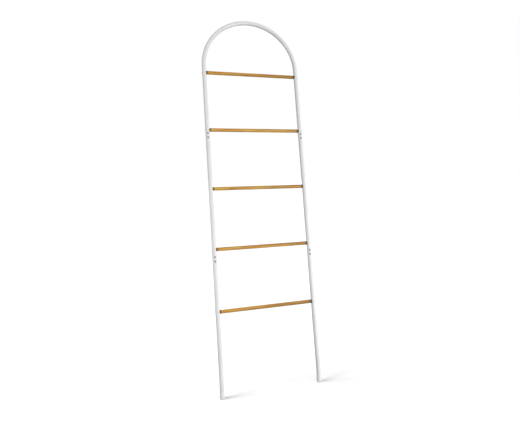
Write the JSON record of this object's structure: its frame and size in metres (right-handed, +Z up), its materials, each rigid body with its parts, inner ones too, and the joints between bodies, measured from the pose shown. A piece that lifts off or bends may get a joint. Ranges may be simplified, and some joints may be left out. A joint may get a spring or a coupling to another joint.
{
  "type": "leaning ladder towel rack",
  "caption": "Leaning ladder towel rack: a white round-tube frame bent over in a half-round arch, with round bamboo rungs, screwed tube joints and capped feet.",
  "frame": {"origin": "on the floor, at the centre of the footprint from the front of the feet to the wall, midway between the rails", "axes": "+Z up; +Y horizontally towards the wall; +X to the right for someone facing the rack"},
  "size_m": [0.4722, 0.4025, 1.659],
  "materials": {
    "white_steel": "white powder coat, satin, very fine orange peel",
    "bamboo": "carbonised bamboo dowel, clear satin lacquer, straight grain along the rung",
    "screw_steel": "zinc-plated steel, satin",
    "coated_screw": "steel screw with a white-coated head",
    "plated_steel": "turned steel tube, zinc-plated",
    "insert_brass": "turned brass",
    "foot_rubber": "moulded off-white rubber, matt",
    "bumper_rubber": "moulded off-white silicone rubber, matt"
  },
  "bodies": {
    "root": {"top_arch": "white_steel", "lower_rail_left": "white_steel", "middle_rail_left": "white_steel", "lower_sleeve_left": "plated_steel", "upper_sleeve_left": "plated_steel", "lower_joint_screws_left": "screw_steel", "upper_joint_screws_left": "screw_steel", "foot_left": "foot_rubber", "wall_bumper_left": "bumper_rubber", "lower_rail_right": "white_steel", "middle_rail_right": "white_steel", "lower_sleeve_right": "plated_steel", "upper_sleeve_right": "plated_steel", "lower_joint_screws_right": "screw_steel", "upper_joint_screws_right": "screw_steel", "foot_right": "foot_rubber", "wall_bumper_right": "bumper_rubber", "rung_1": "bamboo", "rung_inserts_1": "insert_brass", "rung_screws_1": "coated_screw", "rung_2": "bamboo", "rung_inserts_2": "insert_brass", "rung_screws_2": "coated_screw", "rung_3": "bamboo", "rung_inserts_3": "insert_brass", "rung_screws_3": "coated_screw", "rung_4": "bamboo", "rung_inserts_4": "insert_brass", "rung_screws_4": "coated_screw", "rung_5": "bamboo", "rung_inserts_5": "insert_brass", "rung_screws_5": "coated_screw"}
  },
  "joints": []
}
